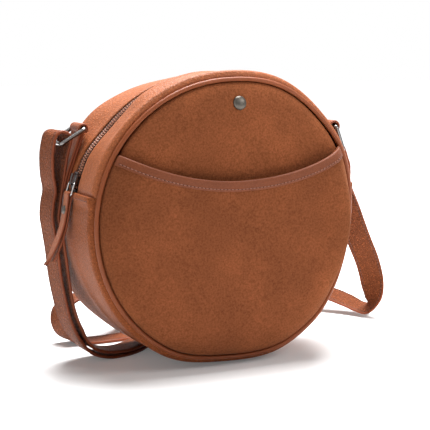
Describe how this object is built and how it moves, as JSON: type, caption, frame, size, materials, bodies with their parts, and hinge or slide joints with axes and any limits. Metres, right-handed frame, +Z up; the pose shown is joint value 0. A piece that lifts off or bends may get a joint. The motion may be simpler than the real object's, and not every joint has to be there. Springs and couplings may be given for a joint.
{
  "type": "circle bag",
  "caption": "Round crossbody bag with a suede front and scooped slip pocket, a zipped leather gusset, piped rims, two wire rings and a long flat strap with a slide adjuster.",
  "frame": {"origin": "Middle of the pressed flat base under the gusset", "axes": "+X to the right along the width, +Y from the front panel to the back, +Z up"},
  "size_m": [0.315, 0.1766, 0.2121],
  "materials": {
    "suede_front": "napped suede",
    "suede_pocket": "napped suede",
    "binding_leather": "semi-gloss grain",
    "piping_leather": "semi-gloss grain",
    "back_leather": "semi-gloss grain",
    "gusset_leather": "semi-gloss grain",
    "zip_strip_leather": "semi-gloss grain",
    "strap_leather": "semi-gloss grain",
    "chape_leather": "semi-gloss grain",
    "pull_leather": "semi-gloss grain",
    "lining_cloth": "woven",
    "foam_padding": "open foam",
    "piping_cord": "twisted cotton",
    "zip_tape": "woven",
    "zip_coil": "coil",
    "slider_metal": "black nickel",
    "puller_metal": "polished nickel",
    "ring_metal": "polished nickel",
    "trim_metal": "antique nickel"
  },
  "bodies": {
    "bag": {"front_panel": "suede_front", "front_foam": "foam_padding", "front_lining": "lining_cloth", "front_pocket_panel": "suede_pocket", "pocket_binding": "binding_leather", "front_piping_cover": "piping_leather", "front_piping_cord": "piping_cord", "back_panel": "back_leather", "back_foam": "foam_padding", "back_lining": "lining_cloth", "back_piping_cover": "piping_leather", "back_piping_cord": "piping_cord", "bottom_gusset": "gusset_leather", "gusset_foam": "foam_padding", "gusset_lining": "lining_cloth", "zip_gusset_front": "zip_strip_leather", "zip_gusset_rear": "zip_strip_leather", "zip_tape_front": "zip_tape", "zip_tape_rear": "zip_tape", "zip_coil_front": "zip_coil", "zip_coil_rear": "zip_coil", "zip_end_stops": "slider_metal", "left_chape": "chape_leather", "right_chape": "chape_leather", "strap_tail": "strap_leather", "strap_tail_run": "strap_leather", "strap_left_hang": "strap_leather", "strap_front_run": "strap_leather", "strap_rear_run": "strap_leather", "strap_right_curl": "strap_leather", "strap_right_hang": "strap_leather", "front_stud": "trim_metal", "stud_washer": "trim_metal"},
    "slider": {"zip_slider": "slider_metal"},
    "puller": {"zip_puller": "puller_metal"},
    "pull_tab": {"leather_pull": "pull_leather", "pull_rivet": "trim_metal"},
    "left_ring": {"left_ring": "ring_metal"},
    "right_ring": {"right_ring": "ring_metal"},
    "adjuster": {"strap_adjuster": "ring_metal", "strap_end_loop": "strap_leather"}
  },
  "joints": [
    {"name": "zip_slide", "type": "hinge", "parent": "bag", "child": "slider", "pos_m": [0, 0, 0.105], "axis": [0, 1, 0], "range_deg": [0, 147]},
    {"name": "puller_swing", "type": "hinge", "parent": "slider", "child": "puller", "pos_m": [-0.10502, 0, 0.13365], "axis": [0, 1, 0], "range_deg": [0, 120]},
    {"name": "pull_tab_swing", "type": "hinge", "parent": "puller", "child": "pull_tab", "pos_m": [-0.10765, 0, 0.12556], "axis": [0, 1, 0], "range_deg": [0, 60]},
    {"name": "left_ring_swing", "type": "hinge", "parent": "bag", "child": "left_ring", "pos_m": [-0.09188, 0.021, 0.17037], "axis": [0, 1, 0], "range_deg": [-25, 155], "deforming": ["strap_left_hang"]},
    {"name": "right_ring_swing", "type": "hinge", "parent": "bag", "child": "right_ring", "pos_m": [0.11435, 0.021, 0.16624], "axis": [0, 1, 0], "range_deg": [-150, 20], "deforming": ["strap_right_hang"]},
    {"name": "adjuster_slide", "type": "slide", "parent": "bag", "child": "adjuster", "axis": [1, 0, 0], "range_m": [-0.01, 0.018], "deforming": ["strap_tail"]}
  ]
}
